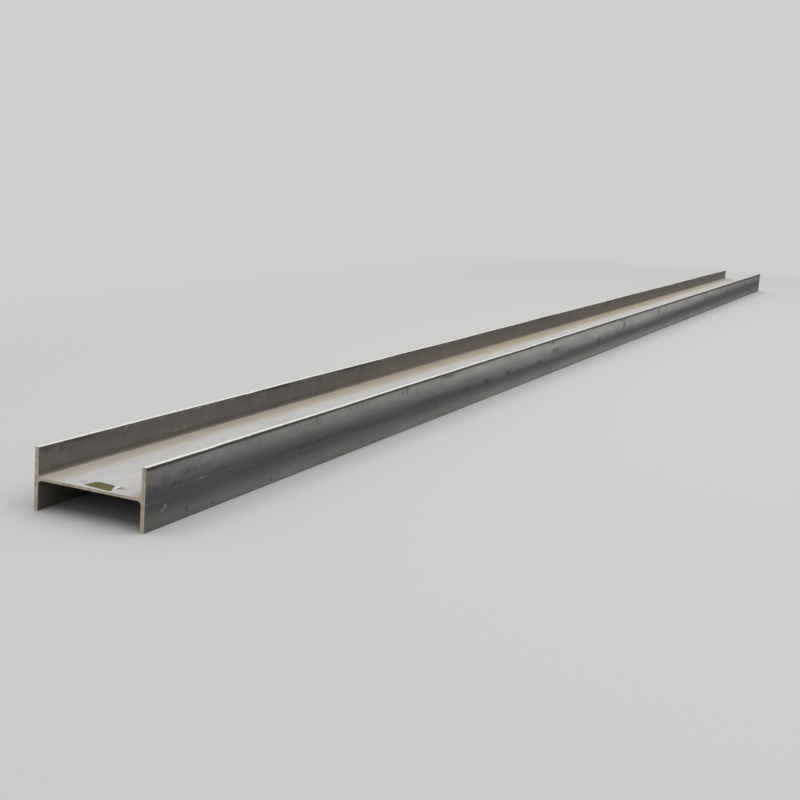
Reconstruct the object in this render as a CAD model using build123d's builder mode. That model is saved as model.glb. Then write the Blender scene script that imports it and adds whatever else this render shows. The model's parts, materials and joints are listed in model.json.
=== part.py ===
"""Hot-rolled steel beam with parallel flanges, lying on its flange toes with the web level.

Millimetres. X runs along the beam, Y across it from flange to flange, and Z up. The origin is on
the floor, under the middle of the beam.
"""

import os

from build123d import *

# Driving dimensions: the rolled section, and the length it is sawn to
beam_length = 12000.0
section_depth = 404.0  # over the outer faces of the two flanges
flange_width = 201.0  # toe to toe
flange_thickness = 15.0
web_thickness = 9.0
root_radius = 13.0  # where the web runs into a flange
toe_radius = 1.5  # the corners that the edging rolls leave on a flange toe

# Places that follow from them
near_end = -beam_length / 2
web_level = flange_width / 2
flange_offset = (section_depth - flange_thickness) / 2

# The beam is one rolled bar: its section, carried along its length and sawn square
with BuildPart() as beam:
    with BuildSketch(Plane.YZ.offset(near_end)) as section:
        with Locations((0, web_level)):
            Rectangle(section_depth - flange_thickness, web_thickness)
        with Locations((-flange_offset, web_level), (flange_offset, web_level)):
            Rectangle(flange_thickness, flange_width)
        rows_of_corners = section.vertices().group_by(Axis.Y)
        fillet(rows_of_corners[0] + rows_of_corners[-1], toe_radius)
        web_corners = section.vertices().filter_by_position(
            Axis.Y, web_level - web_thickness, web_level + web_thickness
        )
        fillet(web_corners, root_radius)
    extrude(amount=beam_length)
beam.part.label = "beam"

os.makedirs("parts", exist_ok=True)
export_step(beam.part, "parts/beam.step")
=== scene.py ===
"""Looks of a hot-rolled steel i-beam: the rolled bar, its blank stock label and a plain studio.

Metres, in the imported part's frame: X runs along the beam, Y across it from flange to flange, Z up.
"""

import json
import math
from collections import namedtuple

import bpy
import numpy as np
from bpy.props import FloatProperty, FloatVectorProperty, IntProperty, PointerProperty
from mathutils import Color, Matrix, Vector
from mathutils.geometry import tessellate_polygon


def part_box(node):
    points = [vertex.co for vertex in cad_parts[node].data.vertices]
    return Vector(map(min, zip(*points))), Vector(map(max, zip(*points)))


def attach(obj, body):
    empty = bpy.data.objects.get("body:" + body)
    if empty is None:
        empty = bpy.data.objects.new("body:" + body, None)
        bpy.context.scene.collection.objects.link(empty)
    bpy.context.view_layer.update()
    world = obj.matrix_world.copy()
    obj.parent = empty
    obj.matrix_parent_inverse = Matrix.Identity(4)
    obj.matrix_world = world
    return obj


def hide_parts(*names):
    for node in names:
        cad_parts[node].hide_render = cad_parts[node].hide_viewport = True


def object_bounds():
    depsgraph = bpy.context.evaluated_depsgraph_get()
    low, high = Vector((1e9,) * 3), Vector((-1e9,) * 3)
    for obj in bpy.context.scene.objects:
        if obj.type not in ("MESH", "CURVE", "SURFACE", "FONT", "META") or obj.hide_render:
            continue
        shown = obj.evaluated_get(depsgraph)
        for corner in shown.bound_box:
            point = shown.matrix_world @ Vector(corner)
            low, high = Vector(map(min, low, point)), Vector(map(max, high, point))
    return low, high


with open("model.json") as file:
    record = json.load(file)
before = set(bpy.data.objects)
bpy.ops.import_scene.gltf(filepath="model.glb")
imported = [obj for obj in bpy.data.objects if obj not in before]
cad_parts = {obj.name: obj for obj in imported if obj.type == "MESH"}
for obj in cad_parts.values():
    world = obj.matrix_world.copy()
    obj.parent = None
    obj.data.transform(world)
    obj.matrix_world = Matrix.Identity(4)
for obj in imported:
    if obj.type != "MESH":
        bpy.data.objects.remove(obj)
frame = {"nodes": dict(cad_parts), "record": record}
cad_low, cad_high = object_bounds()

bl_info = {
    "name": "Steel I-Beam",
    "version": (1, 0, 0),
    "blender": (4, 5, 0),
    "location": "View3D > Sidebar > Steel I-Beam",
    "description": "Dresses a packed hot-rolled beam with mill scale, yard dust and a stock label",
    "category": "Object",
}

MILLIMETRE = 0.001
BEAM_NODE = "beam"
BODY = "root"
BAKE_MAP = "OFBake"
SEED = 412

# The sockets of a Mix node that take colours and those that take numbers, which share their names
MIX_A, MIX_B, MIX_OUT = 6, 7, 2
NUMBER_A, NUMBER_B = 2, 3

# The limits of a Map Range node, those of one that fades out, and a soft start and end
FROM, TO = ("From Min", "From Max"), ("To Min", "To Max")
FADING = (1.0, 0.0)
SMOOTH = {"interpolation_type": "SMOOTHSTEP"}

# A Mix node that darkens or lightens a colour by a pattern
SHADED = {"data_type": "RGBA", "blend_type": "MULTIPLY"}

# The beam's own planes and thicknesses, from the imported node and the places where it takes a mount
beam_low, beam_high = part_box(BEAM_NODE)
mounts = {mount["name"]: Vector(mount["pos_m"]) for mount in frame["record"]["mounts"]}
near_end = beam_low.x
mid_height = (beam_low.z + beam_high.z) / 2
half_depth = beam_high.y
toe_height = beam_high.z
packed_flange = 2 * (half_depth - mounts["far_flange_floor_toe"].y)
packed_web = mounts["web_upper_face"].z - mounts["web_lower_face"].z


def linear(hex_colour):
    """Turns an sRGB hex colour into Blender's linear red, green and blue."""
    levels = bytes.fromhex(hex_colour.lstrip("#"))
    return tuple(Color([level / 255 for level in levels]).from_srgb_to_scene_linear())


def opaque(colour):
    """Adds the fourth number that a colour socket takes."""
    return (*colour, 1.0)


def per_metre(millimetres):
    """The scale that gives a texture node features of this size."""
    return 1.0 / (millimetres * MILLIMETRE)


def add_node(tree, kind, inputs=None, output=0, **settings):
    """Adds a node with its settings, sets or links its inputs, and returns one output.

    An input goes by its name or number, and several go by a tuple of them with as many values.
    """
    node = tree.nodes.new(kind)
    for name, value in settings.items():
        setattr(node, name, value)
    for names, values in (inputs or {}).items():
        for name, value in zip(names, values) if isinstance(names, tuple) else [(names, values)]:
            if isinstance(value, bpy.types.NodeSocket):
                tree.links.new(value, node.inputs[name])
            else:
                node.inputs[name].default_value = value
    return node.outputs[output] if len(node.outputs) else node


def add_object(name, data):
    """Puts an object with this data into the scene."""
    added = bpy.data.objects.new(name, data)
    bpy.context.scene.collection.objects.link(added)
    return added


def size_property(name, description, default):
    """A length in metres that a user may change."""
    return FloatProperty(
        name=name, description=description, default=default, min=0.0, unit="LENGTH", precision=4
    )


def angle_property(name, description, degrees):
    """An angle that a user may change, given in degrees."""
    return FloatProperty(name=name, description=description, default=math.radians(degrees), subtype="ANGLE")


def colour_property(name, description, hex_colour):
    """A colour that a user may change, given as sRGB hex."""
    return FloatVectorProperty(
        name=name, description=description, default=linear(hex_colour), subtype="COLOR", min=0.0, max=1.0
    )


class RolledBarSizes(bpy.types.PropertyGroup):
    """Sizes of the rolled section and of the wear on it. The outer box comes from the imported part."""

    flange_thickness: size_property("Flange thickness", "Thickness of each flange", packed_flange)
    web_thickness: size_property("Web thickness", "Thickness of the web", packed_web)
    root_radius: size_property("Root radius", "Fillet between the web and a flange", 0.013)
    toe_radius: size_property("Toe radius", "Rounding of the flange toes", 0.0015)
    saw_bevel: size_property("Saw bevel", "Corner that is left round a sawn end", 0.0006)
    dent_depth: size_property("Dent depth", "Deepest handling dent in a flange toe", 0.0016)
    dents: IntProperty(name="Dents", description="Handling dents along each flange toe", default=48, min=0)
    toe_wave: size_property("Toe wave", "Slow wave that rolling leaves in the flange toes", 0.002)


class RolledBarColours(bpy.types.PropertyGroup):
    """Colours of the rolled and sawn steel, and of what lies on it, with painted shade, sheen and highlight
    in some of them.
    """

    scale_dark: colour_property("Dark scale", "Dense mill scale", "#44423F")
    scale_grey: colour_property("Grey scale", "Thin, dull mill scale", "#5A5856")
    # Blue scale is bluish mill scale, made darker still as painted shade
    scale_blue_and_shade: colour_property("Blue scale", "Scale over the web line, which cools last", "#38343E")
    brown_film: colour_property("Brown film", "First rust film on sheltered faces", "#66605A")
    # Face dust is dust on the upright faces, lightened to carry painted sheen as well
    face_dust_and_sheen: colour_property("Face dust", "Dust film on upright faces", "#A6A4A1")
    # The smear colour also paints shade in the tide line and in the shade line under the toes
    smear_and_shade: colour_property("Smears", "Grease and wet dirt", "#232222")
    scuff: colour_property("Scuffs", "Fresh scrapes through the scale", "#A9A7A2")
    stain: colour_property("Stains", "Glue stains on the web", "#8C8883")
    web_dust: colour_property("Web dust", "Cement-grey dust settled on the web", "#C0BEBC")
    silt: colour_property("Silt", "Tan silt that rain leaves along the roots", "#B2A48F")
    # Toes: worn steel, made paler still as a painted highlight
    toe: colour_property("Toes", "Rubbed steel on the flange toes", "#E4E0D8")
    sawn: colour_property("Sawn steel", "Sawn end under a thin rust film", "#C2B7A6")
    sawn_rust: colour_property("Sawn rust", "Rust blooms on the sawn end", "#A08D74")


class StockLabelSettings(bpy.types.PropertyGroup):
    """Size, place and colours of the blank paper label."""

    length: size_property("Length", "Label length, across the web", 0.104)
    width: size_property("Width", "Label width, along the beam", 0.058)
    thickness: size_property("Thickness", "Thickness of the paper", 0.0003)
    from_end: size_property("From end", "Label centre, from the sawn end", 0.043)
    off_middle: FloatProperty(
        name="Off middle", description="Label centre, from the middle of the web",
        default=-0.021, unit="LENGTH",
    )
    turn: angle_property("Turn", "Turn of the label on the web", -7)
    curl: size_property("Curl", "Lift of the loose corners", 0.005)
    wrinkle: size_property("Wrinkle", "Height of the wrinkles in the paper", 0.0008)
    ragged: size_property("Ragged", "How far the worn edge strays inwards", 0.002)
    paper: colour_property("Paper", "Olive label stock", "#5F5A24")
    backing: colour_property("Backing", "White back of the label stock", "#D6D2CB")


class StageSettings(bpy.types.PropertyGroup):
    """Floor, lamps and camera."""

    floor: colour_property("Floor", "Pale studio floor", "#CACAC8")
    backdrop: colour_property("Backdrop", "Backdrop, as bright as the lit floor", "#CECECC")
    ambient: FloatProperty(name="Ambient", description="Light from all round", default=0.5, min=0.0)
    softbox: FloatProperty(
        name="Softbox", description="Power of the overhead softbox", default=950.0, min=0.0, unit="POWER"
    )
    camera_back: size_property("Camera back", "Camera distance beyond the near end", 2.995)
    camera_side: size_property("Camera side", "Camera distance from the beam's middle plane", 2.265)
    camera_height: size_property("Camera height", "Camera height above the floor", 1.122)
    camera_yaw: angle_property("Camera yaw", "View turned from across the beam to along it", 66.82)
    camera_pitch: angle_property("Camera pitch", "View tilted up", -10.54)
    camera_roll: angle_property("Camera roll", "Camera tilted about its view", 4.46)
    camera_lens: FloatProperty(
        name="Lens", description="Focal length on a 36 mm frame", default=57.0, min=1.0, unit="CAMERA"
    )


# The rolled bar's mesh

# Steps round the outline and along the bar, finest by the sawn ends
OUTLINE_STEP = 0.015
ROOT_STEPS = 6
TOE_STEPS = 3
FINE_STATION = 0.005
COARSE_STATION = 0.024
STATION_GROWTH = 0.2

# Dents and slow wave of the flange toes
DENT_REACH = 0.006
DENT_LENGTHS = (0.006, 0.030)
SHALLOWEST_DENT = 0.1
TOE_WAVE_LENGTHS = (1.1, 2.7)

# The sheet for a bake: bands of skin side by side, and above them the sawn ends at a larger scale
BAKE_BANDS = 3
BAKE_GAP = 0.02
BAKE_END_GAP = 0.06
BAKE_END_SCALE = 3.4

# Faces that meet at more than this keep a sharp edge
SHARP_ANGLE = math.radians(38)


def section_outline(sizes):
    """The section's outline as (y, z) points, counter-clockwise from +X, with true arcs at its corners."""
    inner = half_depth - sizes.flange_thickness
    web_low = mid_height - sizes.web_thickness / 2
    web_high = mid_height + sizes.web_thickness / 2
    floor, top = beam_low.z, toe_height
    toe, root = (sizes.toe_radius, TOE_STEPS), (sizes.root_radius, ROOT_STEPS)
    corners = [
        ((half_depth, floor), toe),
        ((half_depth, top), toe),
        ((inner, top), toe),
        ((inner, web_high), root),
        ((-inner, web_high), root),
        ((-inner, top), toe),
        ((-half_depth, top), toe),
        ((-half_depth, floor), toe),
        ((-inner, floor), toe),
        ((-inner, web_low), root),
        ((inner, web_low), root),
        ((inner, floor), toe),
    ]
    places = [np.array(place) for place, _ in corners]
    arcs = []
    for index, (_, (radius, steps)) in enumerate(corners):
        corner = places[index]
        back = places[index - 1] - corner
        ahead = places[(index + 1) % len(places)] - corner
        back, ahead = back / np.linalg.norm(back), ahead / np.linalg.norm(ahead)
        centre = corner + radius * (back + ahead)
        turns = np.linspace(0, math.pi / 2, steps + 1)
        arcs.append([centre - radius * (ahead * math.cos(t) + back * math.sin(t)) for t in turns])
    outline = []
    for index, arc in enumerate(arcs):
        outline += arc
        start, end = arc[-1], arcs[(index + 1) % len(arcs)][0]
        pieces = math.ceil(np.linalg.norm(end - start) / OUTLINE_STEP)
        outline += [start + (end - start) * i / pieces for i in range(1, pieces)]
    return np.array(outline)


def outward_normals(outline):
    """Unit normals of a counter-clockwise outline, at its points."""
    tangent = np.roll(outline, -1, axis=0) - np.roll(outline, 1, axis=0)
    normal = np.stack([tangent[:, 1], -tangent[:, 0]], axis=1)
    return normal / np.linalg.norm(normal, axis=1, keepdims=True)


def station_places(length, bevel):
    """Places along the bar at which the section is repeated, close together near the sawn ends."""
    half = [0.0]
    while half[-1] < length / 2:
        half.append(half[-1] + min(COARSE_STATION, FINE_STATION * (1 + half[-1] / STATION_GROWTH)))
    half = bevel + np.array(half) * (length / 2 - bevel) / half[-1]
    half = np.concatenate([[0.0], half])
    return np.concatenate([half, length - half[-2::-1]])


def wear_toes(points, sizes, rng):
    """Gives the four flange toes a slow wave and seeded handling dents, all towards the web."""
    along, height = points[:, 0, 0], points[0, :, 2].copy()
    side = np.sign(points[0, :, 1])
    for flange in (-1, 1):
        for toe, inward in ((toe_height, -1), (beam_low.z, 1)):
            close = np.clip(1 - np.abs(height - toe) / DENT_REACH, 0, 1) * (side == flange)
            centres = rng.uniform(along[0], along[-1], sizes.dents)
            lengths = rng.uniform(*DENT_LENGTHS, sizes.dents)
            depths = sizes.dent_depth * rng.uniform(SHALLOWEST_DENT, 1.0, sizes.dents) ** 2
            press = np.zeros_like(along)
            for length in TOE_WAVE_LENGTHS:
                swell = np.sin(math.tau * (along / length + rng.random()))
                press += sizes.toe_wave * (1 + swell) / (2 * len(TOE_WAVE_LENGTHS))
            for centre, length, depth in zip(centres, lengths, depths):
                press += depth * np.exp(-(((along - centre) / length) ** 2))
            points[:, :, 2] += inward * np.outer(press, close)


def bar_points(sizes):
    """The bar's vertices as an array of stations by outline points."""
    outline = section_outline(sizes)
    stations = near_end + station_places(beam_high.x - beam_low.x, sizes.saw_bevel)
    points = np.empty((len(stations), len(outline), 3))
    points[:, :, 0] = stations[:, None]
    points[:, :, 1:] = outline
    wear_toes(points, sizes, np.random.default_rng(SEED))
    inset = outline - outward_normals(outline) * sizes.saw_bevel
    points[0, :, 1:] = inset
    points[-1, :, 1:] = inset
    return points


def lay_out_map(mesh, points):
    """Unrolls the bar into bands side by side, with the sawn ends above them, so that a bake is even."""
    stations, around = points.shape[:2]
    section = points[1, :, 1:]
    steps = np.linalg.norm(np.roll(section, -1, axis=0) - section, axis=1)
    girth = np.concatenate([[0.0], np.cumsum(steps)])
    along = points[:, 0, 0]
    cuts = np.linspace(along[0], along[-1], BAKE_BANDS + 1)
    band_length = (along[-1] - along[0]) / BAKE_BANDS
    ends_foot = band_length + BAKE_END_GAP
    sheet = max(BAKE_BANDS * (girth[-1] + BAKE_GAP), ends_foot + BAKE_END_SCALE * toe_height + BAKE_GAP)
    i, j = np.meshgrid(np.arange(stations - 1), np.arange(around), indexing="ij")
    band = np.clip(np.searchsorted(cuts, along[i], side="right") - 1, 0, BAKE_BANDS - 1)
    corners = [
        np.stack([band * (girth[-1] + BAKE_GAP) + girth[jj], along[ii] - cuts[band] + BAKE_GAP], axis=-1)
        for ii, jj in ((i, j), (i, j + 1), (i + 1, j + 1), (i + 1, j))
    ]
    skin_map = np.stack(corners, axis=2).reshape(-1, 2)
    vertex = np.empty(len(mesh.loops), np.int32)
    mesh.loops.foreach_get("vertex_index", vertex)
    ends = points.reshape(-1, 3)[vertex[len(skin_map):]]
    end_column = (ends[:, 0] > 0) * (2 * half_depth + BAKE_GAP)
    end_map = np.stack([ends[:, 1] + half_depth + end_column, ends[:, 2]], axis=1) * BAKE_END_SCALE
    end_map[:, 1] += ends_foot
    layer = mesh.uv_layers.new(name=BAKE_MAP)
    layer.uv.foreach_set("vector", (np.concatenate([skin_map, end_map]) / sheet).astype(np.float32).ravel())


def bar_mesh(sizes):
    """One closed mesh of the bar: its rolled skin takes the first material and its sawn ends the second."""
    points = bar_points(sizes)
    stations, around = points.shape[:2]
    i, j = np.meshgrid(np.arange(stations - 1), np.arange(around), indexing="ij")
    after = (j + 1) % around
    row, next_row = i * around, (i + 1) * around
    skin = np.stack([row + j, row + after, next_row + after, next_row + j], axis=-1)
    faces = skin.reshape(-1, 4).tolist()
    skin_faces = len(faces)
    for station, outward in ((0, -1), (stations - 1, 1)):
        ring = [Vector((0, y, z)) for y, z in points[station, :, 1:]]
        for triangle in tessellate_polygon([ring]):
            a, b, c = (ring[k] for k in triangle)
            turned = (b - a).cross(c - a).x * outward < 0
            faces.append([station * around + k for k in (triangle[::-1] if turned else triangle)])
    mesh = bpy.data.meshes.new("rolled_bar")
    mesh.from_pydata(points.reshape(-1, 3).tolist(), [], faces)
    mesh.polygons.foreach_set("material_index", [int(k >= skin_faces) for k in range(len(faces))])
    mesh.shade_smooth()
    mesh.set_sharp_from_angle(angle=SHARP_ANGLE)
    lay_out_map(mesh, points)
    return mesh


# The rolled bar's finish

# What the finish goes by on the bar's skin, and one coat of it with the share of the skin that it covers
Skin = namedtuple("Skin", "tree place drifted along across height drifted_height upward outer toe")
Layer = namedtuple("Layer", "coat share")

# A cloudy pattern: feature size in millimetres, lowest and highest value, scale along each axis (below one
# it draws the pattern out), detail and roughness of its noise, and the noise levels for the two values
NOISE_DETAIL = 4.0
NOISE_MIDDLE = (0.5, 0.5, 0.5)
Cloud = namedtuple(
    "Cloud", "millimetres values scales detail roughness levels",
    defaults=((1.0, 1.0, 1.0), NOISE_DETAIL, 0.5, (0.3, 0.7)),
)
ROLL_STREAKS = Cloud(40, (0.0, 1.0), (0.08, 1.0, 1.0), 5.0, 0.62)
# Scale grain is under a millimetre, drawn at 8 mm so that it shows
SCALE_GRAIN = Cloud(8, (0.8, 1.18), detail=3.0)
BAND_PATCHES = Cloud(22, (0.5, 1.0), (0.04, 1.0, 1.0))
FILM_PATCHES = Cloud(70, (0.4, 0.95), detail=5.0)
DUST_PATCHES = Cloud(40, (0.72, 1.24), (0.14, 1.0, 0.6), 6.0, 0.6)
DUST_MOTTLE = Cloud(40, (0.92, 1.06), (0.3, 1.0, 1.0), 7.0, 0.65)
WET_STRETCHES = Cloud(420, (0.0, 1.0), detail=2.0, levels=(0.50, 0.64))
WET_RUNS = Cloud(22, (0.0, 0.6), (1.0, 1.0, 0.5), 5.0, levels=(0.52, 0.70))
SCRAPES = Cloud(7, (0.0, 0.13), (0.025, 1.0, 1.0), 2.0, levels=(0.62, 0.78))
SMEAR_CRUMBS = Cloud(28, (0.25, 1.35), (1.0, 1.0, 0.7), 5.0)
SCUFF_CRUMBS = Cloud(14, (0.25, 1.35), (1.0, 1.0, 0.7), 5.0)
TOE_CHIPS = Cloud(30, (0.5, 1.0), levels=(0.3, 0.42))
RUST_BLOOMS = Cloud(22, (0.0, 0.8), detail=5.0, levels=(0.45, 0.72))

# The same for the edge of a layer, whose values are metres that it strays
DUST_EDGE = Cloud(40, (-0.008, 0.008), (0.05, 1.0, 1.0))
SILT_EDGE = Cloud(50, (-0.012, 0.012), (0.07, 1.0, 1.0), 6.0, 0.65)

# Marks on the upright faces, as metres from the near end and above the floor, with their half sizes
SMEARS_OUTSIDE = (
    (0.018, 0.124, 0.014, 0.016),
    (0.040, 0.193, 0.070, 0.008),
    (0.058, 0.124, 0.030, 0.014),
    (0.105, 0.147, 0.040, 0.019),
    (0.150, 0.123, 0.060, 0.011),
    (0.215, 0.151, 0.085, 0.019),
    (0.310, 0.148, 0.055, 0.013),
)
RUNS_OUTSIDE = (
    (0.960, 0.097, 0.080, 0.010),
    (1.070, 0.095, 0.080, 0.010),
    (1.355, 0.182, 0.014, 0.006),
    (1.405, 0.181, 0.012, 0.006),
    (1.450, 0.181, 0.012, 0.006),
    (1.500, 0.180, 0.014, 0.006),
    (2.350, 0.181, 0.100, 0.011),
    (2.630, 0.093, 0.045, 0.012),
    (2.900, 0.092, 0.060, 0.014),
    (3.230, 0.093, 0.050, 0.015),
    (3.390, 0.093, 0.045, 0.015),
    (3.750, 0.090, 0.055, 0.013),
    (4.000, 0.181, 0.080, 0.011),
    (4.060, 0.132, 0.095, 0.018),
    (5.010, 0.097, 0.075, 0.020),
    (5.640, 0.180, 0.140, 0.012),
    (5.670, 0.145, 0.046, 0.056),
    (6.760, 0.157, 0.050, 0.030),
)
SMEARS_INSIDE = (
    (0.035, 0.186, 0.034, 0.013),
    (0.105, 0.177, 0.030, 0.009),
    (0.210, 0.191, 0.060, 0.006),
)
SCUFFS_OUTSIDE = (
    (0.088, 0.053, 0.009, 0.007),
    (0.104, 0.062, 0.008, 0.009),
    (0.300, 0.113, 0.046, 0.003),
)
SCUFFS_INSIDE = (
    (0.440, 0.189, 0.012, 0.006),
    (0.735, 0.134, 0.020, 0.005),
    (0.790, 0.134, 0.016, 0.004),
    (0.880, 0.193, 0.026, 0.004),
    (1.120, 0.190, 0.018, 0.004),
    (1.355, 0.179, 0.012, 0.004),
)
MARK_DEPTH = 0.009

# Glue stains on the web beside the label, as metres from the near end and across, with their half sizes
WEB_STAINS = (
    (0.050, 0.056, 0.016, 0.018),
    (0.058, -0.076, 0.020, 0.028),
)

# Where a mark starts to thin out and where it ends, in half sizes from its middle, and a reach past them all
MARK_EDGE = (0.1, 1.3)
PAST_ALL_MARKS = 1000.0

# The most of the skin that a layer or a kind of mark covers
LOW_DUST_SHARE = 0.5
# The painted shade line under the toes
SHADE_LINE_SHARE = 0.9
SPOT_SHARE = 0.5
SMEAR_SHARE = 0.5
RUN_SHARE = 0.9
SCUFF_SHARE = 0.5
STAIN_SHARE = 0.75

# Grease spots are 2 to 5 mm across, drawn at up to 18 mm so that they show: their spacing in millimetres,
# the chances between which a spot grows from nothing, and the largest radius in spacings
SPOT_SPACING = 75
SPOT_CHANCES = (0.7, 1.0)
SPOT_RADIUS = 0.12

# Heights above the floor between which a layer comes or goes
SHELTER_SILT_HEIGHTS = (0.110, 0.184)
# The tide line above the roots is partly rust and partly painted shade
TIDE_AND_SHADE_HEIGHTS = (0.119, 0.137)
DUST_HEIGHTS = (0.101, 0.197)
LOW_DUST_HEIGHTS = (0.015, 0.065)
RUN_HEIGHTS = (0.135, 0.180)
# The painted shade line under the toe's outer corner
SHADE_LINE_HEIGHTS = (0.1860, 0.1905)

# The same across the web, and away from the web's line on a flange's outer face
FAR_SILT = (0.083, 0.148)
NEAR_SILT = (-0.178, -0.112)
WEB_LINE_HALF_WIDTHS = (0.016, 0.050)

# How far a face turns up, from 0 to 1, as dust comes to settle on it and as the tide line of rust and
# painted shade ends
SETTLES_ON = (0.58, 0.92)
TIDE_AND_SHADE_ENDS_ON = (0.0, 0.4)

# What counts as outer face, by the depth below it, and as toe, by depth and by how far it turns up or down
OUTER_FACE_DEPTHS = (0.0015, 0.0005)
TOE_DEPTH = 0.006
TOE_FACES = (0.4, 0.8)

# How far marks stray along X, Y and Z, and the size of that pattern in millimetres
DRIFT = (0.05, 0.0, 0.03)
DRIFT_SIZE = 30

# What changes along the bar: its value at the near end, then from where, to where and by how much it changes
SHELTER_SILT = (0.10, ((0.8, 1.4, -0.04), (1.6, 2.8, 0.18), (4.0, 5.0, -0.12), (5.5, 7.0, 0.06)))
# How dark the tide line of rust and painted shade is along the bar
TIDE_AND_SHADE = (0.35, ((1.0, 3.0, -0.20),))
# The film's rise towards the middle of the bar and its lower reach there are painted sheen laid over the
# dust
DUST_AND_SHEEN_FILM = (0.30, ((0.05, 0.9, 0.22), (0.9, 3.5, 0.27), (3.5, 6.0, 0.07), (7.5, 12.0, -0.46)))
DUST_AND_SHEEN_DROP = (0.0, ((0.5, 4.0, 0.032), (6.0, 10.0, -0.032)))
# The painted shade line reaches further down along the bar
SHADE_LINE_GROWTH = (0.0, ((2.0, 10.0, 0.010),))
SILT_SHARE = (0.66, ((0.5, 3.0, 0.34), (8.0, 12.0, -0.30)))
SILT_SPREAD = (0.0, ((1.0, 4.0, 0.022), (8.0, 11.0, -0.022)))
# How pale the toes are along the bar: wear, and painted highlight
TOE_RUB_AND_HIGHLIGHT = (1.0, ((1.5, 6.0, -0.30), (6.0, 12.0, -0.15)))

# How rough the scale is bare and under a full film of dust, and how rough settled dust and the worn toes are
SCALE_ROUGHNESS = (0.68, 0.5)
DUST_ROUGHNESS = 0.9
TOE_ROUGHNESS = 0.45

# Rolled-in scale leaves pits of a millimetre or so, drawn at 5 mm so that they show: their size in
# millimetres, their depth, and how strongly they show bare and under settled dust
PIT_SIZE = 5
PIT_DEPTH = 0.0012
PIT_RELIEF = (0.35, 0.12)

# The saw's lines are a millimetre apart, drawn at 4 mm so that they show: their spacing in millimetres,
# the middle of their arcs, their wander, darkest and palest shade, depth and relief
BLADE_LINE_SPACING = 4
BLADE_CENTRE = (0.0, 0.10, 0.85)
BLADE_WANDER = 0.8
BLADE_SHADES = (0.92, 1.04)
BLADE_DEPTH = 0.0004
BLADE_RELIEF = 0.3
# The turn that a wave node makes in one unit
WAVE_TURN = 20.0

# How far the sawn steel still shows as metal, and how rough it is where clean and where it has rusted
SAWN_METALLIC = 0.4
SAWN_ROUGHNESS = (0.5, 0.75)


def new_material(name):
    """An empty node material, and its tree."""
    material = bpy.data.materials.new(name)
    material.use_nodes = True
    material.node_tree.nodes.clear()
    return material, material.node_tree


def cloudy(tree, place, cloud):
    """A cloudy pattern laid over these places."""
    mapped = add_node(tree, "ShaderNodeMapping", {"Vector": place, "Scale": cloud.scales})
    noise = add_node(
        tree, "ShaderNodeTexNoise",
        {
            "Vector": mapped, "Scale": per_metre(cloud.millimetres),
            "Detail": cloud.detail, "Roughness": cloud.roughness,
        },
    )
    return add_node(tree, "ShaderNodeMapRange", {"Value": noise, FROM: cloud.levels, TO: cloud.values})


def along_bar(skin, course):
    """A number that has one value at the near end of the bar, and changes between places along it."""
    value, changes = course
    for start, end, change in changes:
        step = add_node(
            skin.tree, "ShaderNodeMapRange", {"Value": skin.along, FROM: (start, end), TO: (0.0, change)}
        )
        value = add_node(skin.tree, "ShaderNodeMath", {0: value, 1: step}, operation="ADD")
    return value


def lay_coats(tree, colour, layers):
    """Lays coats over a colour, one after another, each by its share."""
    for coat, share in layers:
        colour = add_node(
            tree, "ShaderNodeMix", {0: share, MIX_A: colour, MIX_B: coat}, MIX_OUT, data_type="RGBA"
        )
    return colour


def read_skin(tree):
    """The places and directions on the bar that its finish goes by."""
    place = add_node(tree, "ShaderNodeTexCoord", output="Object")
    drift = add_node(
        tree, "ShaderNodeTexNoise",
        {"Vector": place, "Scale": per_metre(DRIFT_SIZE), "Detail": NOISE_DETAIL}, "Color",
    )
    centred = add_node(tree, "ShaderNodeVectorMath", {0: drift, 1: NOISE_MIDDLE}, operation="SUBTRACT")
    # The drift leaves Y alone, so that no mark crosses to another face
    drifted = add_node(
        tree, "ShaderNodeVectorMath", {0: centred, 1: DRIFT, 2: place}, operation="MULTIPLY_ADD"
    )
    axes = add_node(tree, "ShaderNodeSeparateXYZ", {"Vector": place}).node.outputs
    along = add_node(tree, "ShaderNodeMath", {0: axes["X"], 1: near_end}, operation="SUBTRACT")
    side = add_node(tree, "ShaderNodeMath", {0: axes["Y"]}, operation="ABSOLUTE")
    above = add_node(tree, "ShaderNodeMath", {0: axes["Z"], 1: mid_height}, operation="SUBTRACT")
    off_middle = add_node(tree, "ShaderNodeMath", {0: above}, operation="ABSOLUTE")
    drifted_height = add_node(tree, "ShaderNodeSeparateXYZ", {"Vector": drifted}, "Z")
    normal = add_node(tree, "ShaderNodeNewGeometry", output="Normal")
    upward = add_node(tree, "ShaderNodeSeparateXYZ", {"Vector": normal}, "Z")
    outer_faces = [half_depth - depth for depth in OUTER_FACE_DEPTHS]
    outer = add_node(tree, "ShaderNodeMapRange", {"Value": side, FROM: outer_faces})
    level = add_node(tree, "ShaderNodeMath", {0: upward}, operation="ABSOLUTE")
    end_on = add_node(tree, "ShaderNodeMapRange", {"Value": level, FROM: TOE_FACES})
    toe_foot = toe_height - mid_height - TOE_DEPTH
    by_toe = add_node(tree, "ShaderNodeMath", {0: off_middle, 1: toe_foot}, operation="GREATER_THAN")
    toe = add_node(tree, "ShaderNodeMath", {0: end_on, 1: by_toe}, operation="MULTIPLY")
    return Skin(tree, place, drifted, along, axes["Y"], axes["Z"], drifted_height, upward, outer, toe)


def scale_skin(skin, colours):
    """Mill scale: dark and grey streaks drawn out along the bar by the rolls, with a fine grain."""
    tree = skin.tree
    streaks = Layer(opaque(colours.scale_grey), cloudy(tree, skin.place, ROLL_STREAKS))
    colour = lay_coats(tree, opaque(colours.scale_dark), [streaks])
    grain = cloudy(tree, skin.place, SCALE_GRAIN)
    return add_node(tree, "ShaderNodeMix", {0: 1.0, MIX_A: colour, MIX_B: grain}, MIX_OUT, **SHADED)


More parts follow.
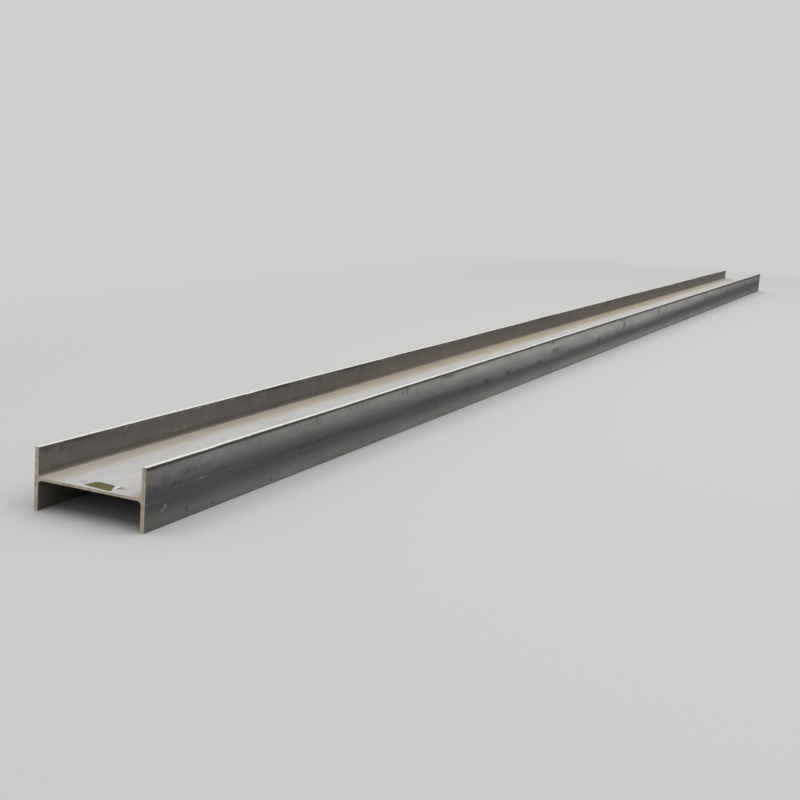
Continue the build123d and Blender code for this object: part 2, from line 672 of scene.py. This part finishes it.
def web_line_band_and_shade(skin, colours):
    """The bluish band along the middle of a flange's outer face, where the web behind it cools last: bluish
    scale, darkened further as painted shade.
    """
    tree = skin.tree
    above = add_node(tree, "ShaderNodeMath", {0: skin.drifted_height, 1: mid_height}, operation="SUBTRACT")
    off_line = add_node(tree, "ShaderNodeMath", {0: above}, operation="ABSOLUTE")
    band = add_node(
        tree, "ShaderNodeMapRange", {"Value": off_line, FROM: WEB_LINE_HALF_WIDTHS, TO: FADING}, **SMOOTH
    )
    patches = cloudy(tree, skin.place, BAND_PATCHES)
    banded = add_node(tree, "ShaderNodeMath", {0: band, 1: patches}, operation="MULTIPLY")
    share = add_node(tree, "ShaderNodeMath", {0: banded, 1: skin.outer}, operation="MULTIPLY")
    return Layer(opaque(colours.scale_blue_and_shade), share)


def sheltered_film(skin, colours):
    """A brown film between the flanges, with silt low down on it and a dark tide line above each root,
    partly rust and partly painted shade.
    """
    tree = skin.tree
    inner = add_node(tree, "ShaderNodeMath", {0: 1.0, 1: skin.outer}, operation="SUBTRACT")
    film = cloudy(tree, skin.place, FILM_PATCHES)
    low_down = add_node(
        tree, "ShaderNodeMapRange", {"Value": skin.drifted_height, FROM: SHELTER_SILT_HEIGHTS, TO: FADING},
        **SMOOTH,
    )
    most_silt = along_bar(skin, SHELTER_SILT)
    silt = add_node(tree, "ShaderNodeMath", {0: low_down, 1: most_silt}, operation="MULTIPLY")
    wet = add_node(
        tree, "ShaderNodeMapRange",
        {"Value": skin.drifted_height, FROM: TIDE_AND_SHADE_HEIGHTS, TO: (along_bar(skin, TIDE_AND_SHADE), 0.0)}, **SMOOTH,
    )
    upright = add_node(tree, "ShaderNodeMapRange", {"Value": skin.upward, FROM: TIDE_AND_SHADE_ENDS_ON, TO: FADING})
    # The tide line: rust, and painted shade where the flange meets the root
    tide_and_shade = add_node(tree, "ShaderNodeMath", {0: wet, 1: upright}, operation="MULTIPLY")
    layers = []
    for colour, amount in ((colours.brown_film, film), (colours.silt, silt), (colours.smear_and_shade, tide_and_shade)):
        share = add_node(tree, "ShaderNodeMath", {0: amount, 1: inner}, operation="MULTIPLY")
        layers.append(Layer(opaque(colour), share))
    return layers


def upright_dust_and_sheen(skin, colours):
    """Dust on a flange's outer face, high up and a little at its foot, thinnest by the ends; towards the
    middle of the bar it thickens and reaches lower as painted sheen.
    """
    tree = skin.tree
    wave = cloudy(tree, skin.place, DUST_EDGE)
    edge = add_node(tree, "ShaderNodeMath", {0: wave, 1: along_bar(skin, DUST_AND_SHEEN_DROP)}, operation="ADD")
    height = add_node(tree, "ShaderNodeMath", {0: skin.height, 1: edge}, operation="ADD")
    zone = add_node(tree, "ShaderNodeMapRange", {"Value": height, FROM: DUST_HEIGHTS}, **SMOOTH)
    low_zone = add_node(
        tree, "ShaderNodeMapRange",
        {"Value": skin.height, FROM: LOW_DUST_HEIGHTS, TO: (LOW_DUST_SHARE, 0.0)}, **SMOOTH,
    )
    zones = add_node(tree, "ShaderNodeMath", {0: zone, 1: low_zone}, operation="MAXIMUM")
    outside = add_node(tree, "ShaderNodeMath", {0: zones, 1: skin.outer}, operation="MULTIPLY")
    patches = cloudy(tree, skin.drifted, DUST_PATCHES)
    film = add_node(
        tree, "ShaderNodeMath", {0: along_bar(skin, DUST_AND_SHEEN_FILM), 1: patches},
        operation="MULTIPLY", use_clamp=True,
    )
    share = add_node(tree, "ShaderNodeMath", {0: film, 1: outside}, operation="MULTIPLY")
    return Layer(opaque(colours.face_dust_and_sheen), share)


def wet_runs_and_shade_line(skin, colours):
    """Runs of grease and wet dirt below the toes, in stretches, and a painted shade line under the outer
    corner.
    """
    tree = skin.tree
    stretch = cloudy(tree, skin.place, WET_STRETCHES)
    runs = cloudy(tree, skin.drifted, WET_RUNS)
    zone = add_node(tree, "ShaderNodeMapRange", {"Value": skin.drifted_height, FROM: RUN_HEIGHTS}, **SMOOTH)
    wet = add_node(tree, "ShaderNodeMath", {0: runs, 1: stretch}, operation="MULTIPLY")
    run_share = add_node(tree, "ShaderNodeMath", {0: wet, 1: zone}, operation="MULTIPLY")
    grown = add_node(
        tree, "ShaderNodeMath", {0: along_bar(skin, SHADE_LINE_GROWTH), 1: skin.outer, 2: skin.height},
        operation="MULTIPLY_ADD",
    )
    # A painted shade line just under the toe's outer corner, on outer faces and in wet stretches
    line = add_node(
        tree, "ShaderNodeMapRange", {"Value": grown, FROM: SHADE_LINE_HEIGHTS, TO: (0.0, SHADE_LINE_SHARE)}
    )
    lined = add_node(tree, "ShaderNodeMath", {0: skin.outer, 1: stretch}, operation="MAXIMUM")
    shade_line_share = add_node(tree, "ShaderNodeMath", {0: line, 1: lined}, operation="MULTIPLY")
    share = add_node(tree, "ShaderNodeMath", {0: run_share, 1: shade_line_share}, operation="MAXIMUM")
    return Layer(opaque(colours.smear_and_shade), share)


def scattered_wear(skin, colours):
    """Small grease spots, and long thin scrapes from handling."""
    tree = skin.tree
    cells = add_node(
        tree, "ShaderNodeTexVoronoi", {"Vector": skin.drifted, "Scale": per_metre(SPOT_SPACING)}
    ).node.outputs
    chance = add_node(tree, "ShaderNodeSeparateXYZ", {"Vector": cells["Color"]}, "X")
    radius = add_node(
        tree, "ShaderNodeMapRange", {"Value": chance, FROM: SPOT_CHANCES, TO: (0.0, SPOT_RADIUS)}
    )
    spot = add_node(tree, "ShaderNodeMath", {0: cells["Distance"], 1: radius}, operation="LESS_THAN")
    spot_share = add_node(tree, "ShaderNodeMath", {0: spot, 1: SPOT_SHARE}, operation="MULTIPLY")
    scrapes = cloudy(tree, skin.place, SCRAPES)
    return [Layer(opaque(colours.smear_and_shade), spot_share), Layer(opaque(colours.scuff), scrapes)]


def upright_marks(marks, face):
    """Places and half sizes of marks on an upright face."""
    return [
        ((near_end + along, face, height), (half_length, MARK_DEPTH, half_height))
        for along, height, half_length, half_height in marks
    ]


def flat_marks(marks, level):
    """Places and half sizes of marks on a level face."""
    return [
        ((near_end + along, across, level), (half_length, half_width, MARK_DEPTH))
        for along, across, half_length, half_width in marks
    ]


def placed_marks(skin, place, mark_colour, marks, most, crumbs):
    """Marks laid each at its own place, and broken up into crumbs."""
    tree = skin.tree
    nearest = PAST_ALL_MARKS
    for centre, half_size in marks:
        within = add_node(
            tree, "ShaderNodeMapping", {"Vector": place, "Location": centre, "Scale": half_size},
            vector_type="TEXTURE",
        )
        reach = add_node(tree, "ShaderNodeVectorMath", {0: within}, "Value", operation="LENGTH")
        nearest = add_node(tree, "ShaderNodeMath", {0: nearest, 1: reach}, operation="MINIMUM")
    laid = add_node(
        tree, "ShaderNodeMapRange", {"Value": nearest, FROM: MARK_EDGE, TO: (most, 0.0)}, **SMOOTH
    )
    broken = cloudy(tree, skin.place, crumbs)
    share = add_node(tree, "ShaderNodeMath", {0: laid, 1: broken}, operation="MULTIPLY", use_clamp=True)
    return Layer(opaque(mark_colour), share)


def settled_dust(skin, colours):
    """Pale dust on what faces up, with tan silt along the roots."""
    tree = skin.tree
    share = add_node(tree, "ShaderNodeMapRange", {"Value": skin.upward, FROM: SETTLES_ON}, **SMOOTH)
    wave = cloudy(tree, skin.place, SILT_EDGE)
    shore = add_node(tree, "ShaderNodeMath", {0: skin.across, 1: wave}, operation="ADD")
    spread = along_bar(skin, SILT_SPREAD)
    far_shore = add_node(tree, "ShaderNodeMath", {0: shore, 1: spread}, operation="ADD")
    far_silt = add_node(tree, "ShaderNodeMapRange", {"Value": far_shore, FROM: FAR_SILT}, **SMOOTH)
    near_silt = add_node(tree, "ShaderNodeMapRange", {"Value": shore, FROM: NEAR_SILT, TO: FADING}, **SMOOTH)
    silt = add_node(tree, "ShaderNodeMath", {0: far_silt, 1: near_silt}, operation="MAXIMUM")
    most_silt = along_bar(skin, SILT_SHARE)
    silt_share = add_node(tree, "ShaderNodeMath", {0: silt, 1: most_silt}, operation="MULTIPLY")
    dust = lay_coats(tree, opaque(colours.web_dust), [Layer(opaque(colours.silt), silt_share)])
    mottle = cloudy(tree, skin.place, DUST_MOTTLE)
    mottled = add_node(tree, "ShaderNodeMix", {0: 1.0, MIX_A: dust, MIX_B: mottle}, MIX_OUT, **SHADED)
    return Layer(mottled, share)


def rubbed_and_highlit_toes(skin, colours):
    """Flange toes worn pale by handling, and made paler still as a painted highlight."""
    tree = skin.tree
    kept = cloudy(tree, skin.place, TOE_CHIPS)
    rubbed_and_highlit = add_node(tree, "ShaderNodeMath", {0: kept, 1: along_bar(skin, TOE_RUB_AND_HIGHLIGHT)}, operation="MULTIPLY")
    share = add_node(tree, "ShaderNodeMath", {0: rubbed_and_highlit, 1: skin.toe}, operation="MULTIPLY")
    return Layer(opaque(colours.toe), share)


def mill_scale_material(colours, sizes):
    """Hot-rolled steel as rolled: a hard, dull oxide skin, dark grey with a blue cast, under yard dust, with
    painted shade, sheen and highlight in some of its coats.

    The oxide is no bare metal, so it gives the eye a soft sheen at a low angle and no mirror.
    """
    material, tree = new_material("hot_rolled_mill_scale")
    skin = read_skin(tree)
    inner_face = half_depth - sizes.flange_thickness
    web_top = mid_height + sizes.web_thickness / 2
    smears = upright_marks(SMEARS_OUTSIDE, -half_depth) + upright_marks(SMEARS_INSIDE, inner_face)
    scuffs = upright_marks(SCUFFS_OUTSIDE, -half_depth) + upright_marks(SCUFFS_INSIDE, inner_face)
    runs = upright_marks(RUNS_OUTSIDE, -half_depth)
    stains = flat_marks(WEB_STAINS, web_top)
    # Dust on the outer faces, with painted sheen along the bar
    film = upright_dust_and_sheen(skin, colours)
    settled = settled_dust(skin, colours)
    rubbed_and_highlit = rubbed_and_highlit_toes(skin, colours)
    layers = [
        web_line_band_and_shade(skin, colours),
        *sheltered_film(skin, colours),
        film,
        wet_runs_and_shade_line(skin, colours),
        *scattered_wear(skin, colours),
        placed_marks(skin, skin.drifted, colours.smear_and_shade, smears, SMEAR_SHARE, SMEAR_CRUMBS),
        placed_marks(skin, skin.drifted, colours.smear_and_shade, runs, RUN_SHARE, SMEAR_CRUMBS),
        placed_marks(skin, skin.place, colours.scuff, scuffs, SCUFF_SHARE, SCUFF_CRUMBS),
        settled,
        placed_marks(skin, skin.place, colours.stain, stains, STAIN_SHARE, SCUFF_CRUMBS),
        rubbed_and_highlit,
    ]
    colour = lay_coats(tree, scale_skin(skin, colours), layers)
    roughness = add_node(tree, "ShaderNodeMapRange", {"Value": film.share, TO: SCALE_ROUGHNESS})
    for share, coat_roughness in ((settled.share, DUST_ROUGHNESS), (rubbed_and_highlit.share, TOE_ROUGHNESS)):
        roughness = add_node(
            tree, "ShaderNodeMix", {0: share, NUMBER_A: roughness, NUMBER_B: coat_roughness}
        )
    pits = add_node(
        tree, "ShaderNodeTexNoise",
        {"Vector": skin.place, "Scale": per_metre(PIT_SIZE), "Detail": NOISE_DETAIL},
    )
    relief = add_node(tree, "ShaderNodeMapRange", {"Value": settled.share, TO: PIT_RELIEF})
    bump = add_node(tree, "ShaderNodeBump", {"Height": pits, "Strength": relief, "Distance": PIT_DEPTH})
    shader = add_node(
        tree, "ShaderNodeBsdfPrincipled", {"Base Color": colour, "Roughness": roughness, "Normal": bump}
    )
    add_node(tree, "ShaderNodeOutputMaterial", {"Surface": shader})
    return material


def sawn_end_material(colours):
    """Cold-sawn steel that has stood outdoors: fine arcs of the blade under a thin tan film of rust."""
    material, tree = new_material("sawn_steel_end")
    place = add_node(tree, "ShaderNodeTexCoord", output="Object")
    bloom = cloudy(tree, place, RUST_BLOOMS)
    colour = lay_coats(tree, opaque(colours.sawn), [Layer(opaque(colours.sawn_rust), bloom)])
    from_blade = add_node(tree, "ShaderNodeVectorMath", {0: place, 1: BLADE_CENTRE}, operation="SUBTRACT")
    lines = add_node(
        tree, "ShaderNodeTexWave",
        {
            "Vector": from_blade, "Scale": per_metre(BLADE_LINE_SPACING) * math.tau / WAVE_TURN,
            "Distortion": BLADE_WANDER,
        },
        "Fac", wave_type="RINGS", rings_direction="X",
    )
    shade = add_node(tree, "ShaderNodeMapRange", {"Value": lines, TO: BLADE_SHADES})
    lined = add_node(tree, "ShaderNodeMix", {0: 1.0, MIX_A: colour, MIX_B: shade}, MIX_OUT, **SHADED)
    roughness = add_node(tree, "ShaderNodeMapRange", {"Value": bloom, TO: SAWN_ROUGHNESS})
    bump = add_node(
        tree, "ShaderNodeBump", {"Height": lines, "Strength": BLADE_RELIEF, "Distance": BLADE_DEPTH}
    )
    shader = add_node(
        tree, "ShaderNodeBsdfPrincipled",
        {"Base Color": lined, "Metallic": SAWN_METALLIC, "Roughness": roughness, "Normal": bump},
    )
    add_node(tree, "ShaderNodeOutputMaterial", {"Surface": shader})
    return material


# The stock label

LABEL_COLUMNS, LABEL_ROWS = 52, 28
LABEL_GAP = 0.0002

# Corners that have come loose: their side of the label, the lean of the fold and the length turned up
LOOSE_CORNERS = (
    ((1, 1), 0.62, 0.032),
    ((-1, 1), 0.90, 0.013),
)
WRINKLE_LENGTHS = (0.031, 0.023)

# The paper's stains, its creases in millimetres with their relief and depth, and the white edge of a fold
PAPER_STAINS = Cloud(14, (0.62, 1.2), detail=5.0, roughness=0.65)
PAPER_ROUGHNESS = 0.8
CREASE_SIZE = 9
CREASE_RELIEF = 0.3
CREASE_DEPTH = 0.001
WHITE_EDGE = 0.004


def label_mesh(settings):
    """A sheet of paper in its own frame, longest along X, with its loose corners turned up."""
    half_length, half_width = settings.length / 2, settings.width / 2
    x, y = np.meshgrid(
        np.linspace(-half_length, half_length, LABEL_COLUMNS + 1),
        np.linspace(-half_width, half_width, LABEL_ROWS + 1),
        indexing="ij",
    )
    rng = np.random.default_rng(SEED)
    x *= 1 - settings.ragged / half_length * rng.random(LABEL_ROWS + 1)
    y *= 1 - settings.ragged / half_width * rng.random((LABEL_COLUMNS + 1, 1))
    swell = np.sin(math.tau * (x + y) / WRINKLE_LENGTHS[0]) * np.sin(math.tau * (x - y) / WRINKLE_LENGTHS[1])
    lift = settings.wrinkle * np.clip(swell, 0, 1)
    for (side_x, side_y), lean, turned in LOOSE_CORNERS:
        past_fold = side_x * x + lean * side_y * y - (half_length + lean * half_width - turned)
        lift += settings.curl * np.clip(past_fold / turned, 0, 1) ** 2
    points = np.stack([x, y, LABEL_GAP + lift], axis=-1).reshape(-1, 3)
    rows = LABEL_ROWS + 1
    faces = [
        [i * rows + j, (i + 1) * rows + j, (i + 1) * rows + j + 1, i * rows + j + 1]
        for i in range(LABEL_COLUMNS)
        for j in range(LABEL_ROWS)
    ]
    mesh = bpy.data.meshes.new("stock_label")
    mesh.from_pydata(points.tolist(), [], faces)
    mesh.shade_smooth()
    return mesh


def label_material(settings):
    """Uncoated label paper, olive and blank: dull, creased, stained, and white where it is turned up."""
    material, tree = new_material("olive_label_paper")
    place = add_node(tree, "ShaderNodeTexCoord", output="Object")
    stains = cloudy(tree, place, PAPER_STAINS)
    paper = opaque(settings.paper)
    colour = add_node(tree, "ShaderNodeMix", {0: 1.0, MIX_A: paper, MIX_B: stains}, MIX_OUT, **SHADED)
    for (side_x, side_y), lean, turned in LOOSE_CORNERS:
        across_fold = add_node(
            tree, "ShaderNodeVectorMath", {0: place, 1: (side_x, lean * side_y, 0.0)}, "Value",
            operation="DOT_PRODUCT",
        )
        fold = settings.length / 2 + lean * settings.width / 2 - turned
        white = add_node(tree, "ShaderNodeMapRange", {"Value": across_fold, FROM: (fold, fold + WHITE_EDGE)})
        colour = lay_coats(tree, colour, [Layer(opaque(settings.backing), white)])
    creases = add_node(tree, "ShaderNodeTexNoise", {"Vector": place, "Scale": per_metre(CREASE_SIZE)})
    bump = add_node(
        tree, "ShaderNodeBump", {"Height": creases, "Strength": CREASE_RELIEF, "Distance": CREASE_DEPTH}
    )
    shader = add_node(
        tree, "ShaderNodeBsdfPrincipled",
        {"Base Color": colour, "Roughness": PAPER_ROUGHNESS, "Normal": bump},
    )
    add_node(tree, "ShaderNodeOutputMaterial", {"Surface": shader})
    return material


# The stage

FLOOR_SIZE = 120.0
FLOOR_FADE = (0.8, 4.0)
UNTINTED = (1.0, 1.0, 1.0)
SOFTBOX_SIZE = (24.0, 14.0)
SOFTBOX_HEIGHT = 7.0
SOFTBOX_FORWARD = 2.0
SENSOR_WIDTH = 36.0
FAR_CLIP = 300.0


def seen_rays(tree):
    """One for rays that show the background to the eye: straight, mirrored or through glass."""
    rays = add_node(tree, "ShaderNodeLightPath").node.outputs
    seen = add_node(
        tree, "ShaderNodeMath", {0: rays["Is Camera Ray"], 1: rays["Is Glossy Ray"]}, operation="ADD"
    )
    return add_node(
        tree, "ShaderNodeMath", {0: seen, 1: rays["Is Transmission Ray"]}, operation="ADD", use_clamp=True
    )


def floor_material(settings):
    """Matt pale paint that keeps the beam's shadow and goes over to the plain backdrop further out."""
    material, tree = new_material("pale_floor_paint")
    place = add_node(tree, "ShaderNodeTexCoord", output="Object")
    size = add_node(tree, "ShaderNodeVectorMath", {0: place}, operation="ABSOLUTE")
    past = add_node(
        tree, "ShaderNodeVectorMath", {0: size, 1: (beam_high.x, half_depth, 0.0)}, operation="SUBTRACT"
    )
    outside = add_node(tree, "ShaderNodeVectorMath", {0: past, 1: (0.0, 0.0, 0.0)}, operation="MAXIMUM")
    away = add_node(tree, "ShaderNodeVectorMath", {0: outside}, "Value", operation="LENGTH")
    fade = add_node(tree, "ShaderNodeMapRange", {"Value": away, FROM: FLOOR_FADE}, **SMOOTH)
    share = add_node(tree, "ShaderNodeMath", {0: fade, 1: seen_rays(tree)}, operation="MULTIPLY")
    paint = add_node(tree, "ShaderNodeBsdfDiffuse", {"Color": opaque(settings.floor)})
    backdrop = add_node(tree, "ShaderNodeEmission", {"Color": opaque(settings.backdrop), "Strength": 1.0})
    shader = add_node(tree, "ShaderNodeMixShader", {0: share, 1: paint, 2: backdrop})
    add_node(tree, "ShaderNodeOutputMaterial", {"Surface": shader})
    return material


def build_floor(settings):
    """A wide flat floor under the beam."""
    half = FLOOR_SIZE / 2
    mesh = bpy.data.meshes.new("studio_floor")
    corners = [(-half, -half, 0), (half, -half, 0), (half, half, 0), (-half, half, 0)]
    mesh.from_pydata(corners, [], [range(len(corners))])
    mesh.materials.append(floor_material(settings))
    floor = add_object("studio_floor", mesh)
    floor.location.z = cad_low.z


def build_light(settings):
    """Even light from all round, and one large softbox overhead on the camera's side."""
    world = bpy.data.worlds.new("studio_world")
    world.use_nodes = True
    tree = world.node_tree
    tree.nodes.clear()
    light = add_node(tree, "ShaderNodeBackground", {"Color": opaque(UNTINTED), "Strength": settings.ambient})
    backdrop = add_node(tree, "ShaderNodeBackground", {"Color": opaque(settings.backdrop), "Strength": 1.0})
    surround = add_node(tree, "ShaderNodeMixShader", {0: seen_rays(tree), 1: light, 2: backdrop})
    add_node(tree, "ShaderNodeOutputWorld", {"Surface": surround})
    bpy.context.scene.world = world
    lamp = bpy.data.lights.new("softbox", "AREA")
    lamp.shape = "RECTANGLE"
    lamp.size, lamp.size_y = SOFTBOX_SIZE
    lamp.energy = settings.softbox
    softbox = add_object("softbox", lamp)
    softbox.location = (0.0, -SOFTBOX_FORWARD, SOFTBOX_HEIGHT)


def build_camera(settings):
    """A camera at the photograph's place, turned and zoomed so that the beam fills the frame."""
    yaw, pitch, roll = settings.camera_yaw, settings.camera_pitch, settings.camera_roll
    forward = Vector((math.sin(yaw) * math.cos(pitch), math.cos(yaw) * math.cos(pitch), math.sin(pitch)))
    level = Vector((math.cos(yaw), -math.sin(yaw), 0.0))
    upright = level.cross(forward)
    right = level * math.cos(roll) + upright * math.sin(roll)
    up = upright * math.cos(roll) - level * math.sin(roll)
    turn = Matrix((right, up, -forward)).transposed()
    lens = bpy.data.cameras.new("camera")
    lens.sensor_width = SENSOR_WIDTH
    lens.lens = settings.camera_lens
    lens.clip_end = FAR_CLIP
    camera = add_object("camera", lens)
    place = Vector((near_end - settings.camera_back, -settings.camera_side, settings.camera_height))
    camera.matrix_world = Matrix.Translation(place) @ turn.to_4x4()
    bpy.context.scene.camera = camera


class STEELBEAM_OT_rolled_bar(bpy.types.Operator):
    """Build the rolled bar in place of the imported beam"""

    bl_idname = "steel_beam.rolled_bar"
    bl_label = "Build Rolled Bar"

    def execute(self, context):
        scene = context.scene
        if BEAM_NODE not in frame["nodes"]:
            raise RuntimeError(f"the packed part has no node named {BEAM_NODE}")
        mesh = bar_mesh(scene.steel_beam_sizes)
        mesh.materials.append(mill_scale_material(scene.steel_beam_colours, scene.steel_beam_sizes))
        mesh.materials.append(sawn_end_material(scene.steel_beam_colours))
        bar = add_object("rolled_bar", mesh)
        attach(bar, BODY)
        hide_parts(BEAM_NODE)
        return {"FINISHED"}


class STEELBEAM_OT_stock_label(bpy.types.Operator):
    """Lay the blank stock label on the web by the near end"""

    bl_idname = "steel_beam.stock_label"
    bl_label = "Lay Stock Label"

    def execute(self, context):
        scene = context.scene
        settings = scene.steel_beam_label
        web_top = mid_height + scene.steel_beam_sizes.web_thickness / 2
        mesh = label_mesh(settings)
        mesh.materials.append(label_material(settings))
        label = add_object("stock_label", mesh)
        label.location = (near_end + settings.from_end, settings.off_middle, web_top)
        label.rotation_euler.z = settings.turn - math.pi / 2
        paper = label.modifiers.new("paper", "SOLIDIFY")
        paper.thickness = settings.thickness
        paper.offset = 1.0
        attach(label, BODY)
        return {"FINISHED"}


class STEELBEAM_OT_stage(bpy.types.Operator):
    """Set the floor, the light and the camera"""

    bl_idname = "steel_beam.stage"
    bl_label = "Set Stage"

    def execute(self, context):
        settings = context.scene.steel_beam_stage
        build_floor(settings)
        build_light(settings)
        build_camera(settings)
        context.scene.view_settings.view_transform = "Standard"
        return {"FINISHED"}


OPERATORS = (STEELBEAM_OT_rolled_bar, STEELBEAM_OT_stock_label, STEELBEAM_OT_stage)
SETTINGS = {
    "steel_beam_sizes": RolledBarSizes,
    "steel_beam_colours": RolledBarColours,
    "steel_beam_label": StockLabelSettings,
    "steel_beam_stage": StageSettings,
}


class STEELBEAM_PT_sidebar(bpy.types.Panel):
    """Lists the beam's settings and what builds each piece"""

    bl_idname = "STEELBEAM_PT_sidebar"
    bl_label = "Steel I-Beam"
    bl_space_type = "VIEW_3D"
    bl_region_type = "UI"
    bl_category = "Steel I-Beam"

    def draw(self, context):
        for operator in OPERATORS:
            self.layout.operator(operator.bl_idname)
        for group, settings in SETTINGS.items():
            box = self.layout.box()
            for name in settings.__annotations__:
                box.prop(getattr(context.scene, group), name)


CLASSES = (*SETTINGS.values(), *OPERATORS, STEELBEAM_PT_sidebar)


def register():
    """Adds the classes, and the settings on the scene."""
    for each in CLASSES:
        bpy.utils.register_class(each)
    for name, settings in SETTINGS.items():
        setattr(bpy.types.Scene, name, PointerProperty(type=settings))


def unregister():
    """Takes the settings and classes away again."""
    for name in SETTINGS:
        delattr(bpy.types.Scene, name)
    for each in reversed(CLASSES):
        bpy.utils.unregister_class(each)


def main():
    """Builds every piece and the stage."""
    register()
    bpy.ops.steel_beam.rolled_bar()
    bpy.ops.steel_beam.stock_label()
    bpy.ops.steel_beam.stage()


if __name__ == "__main__":
    main()
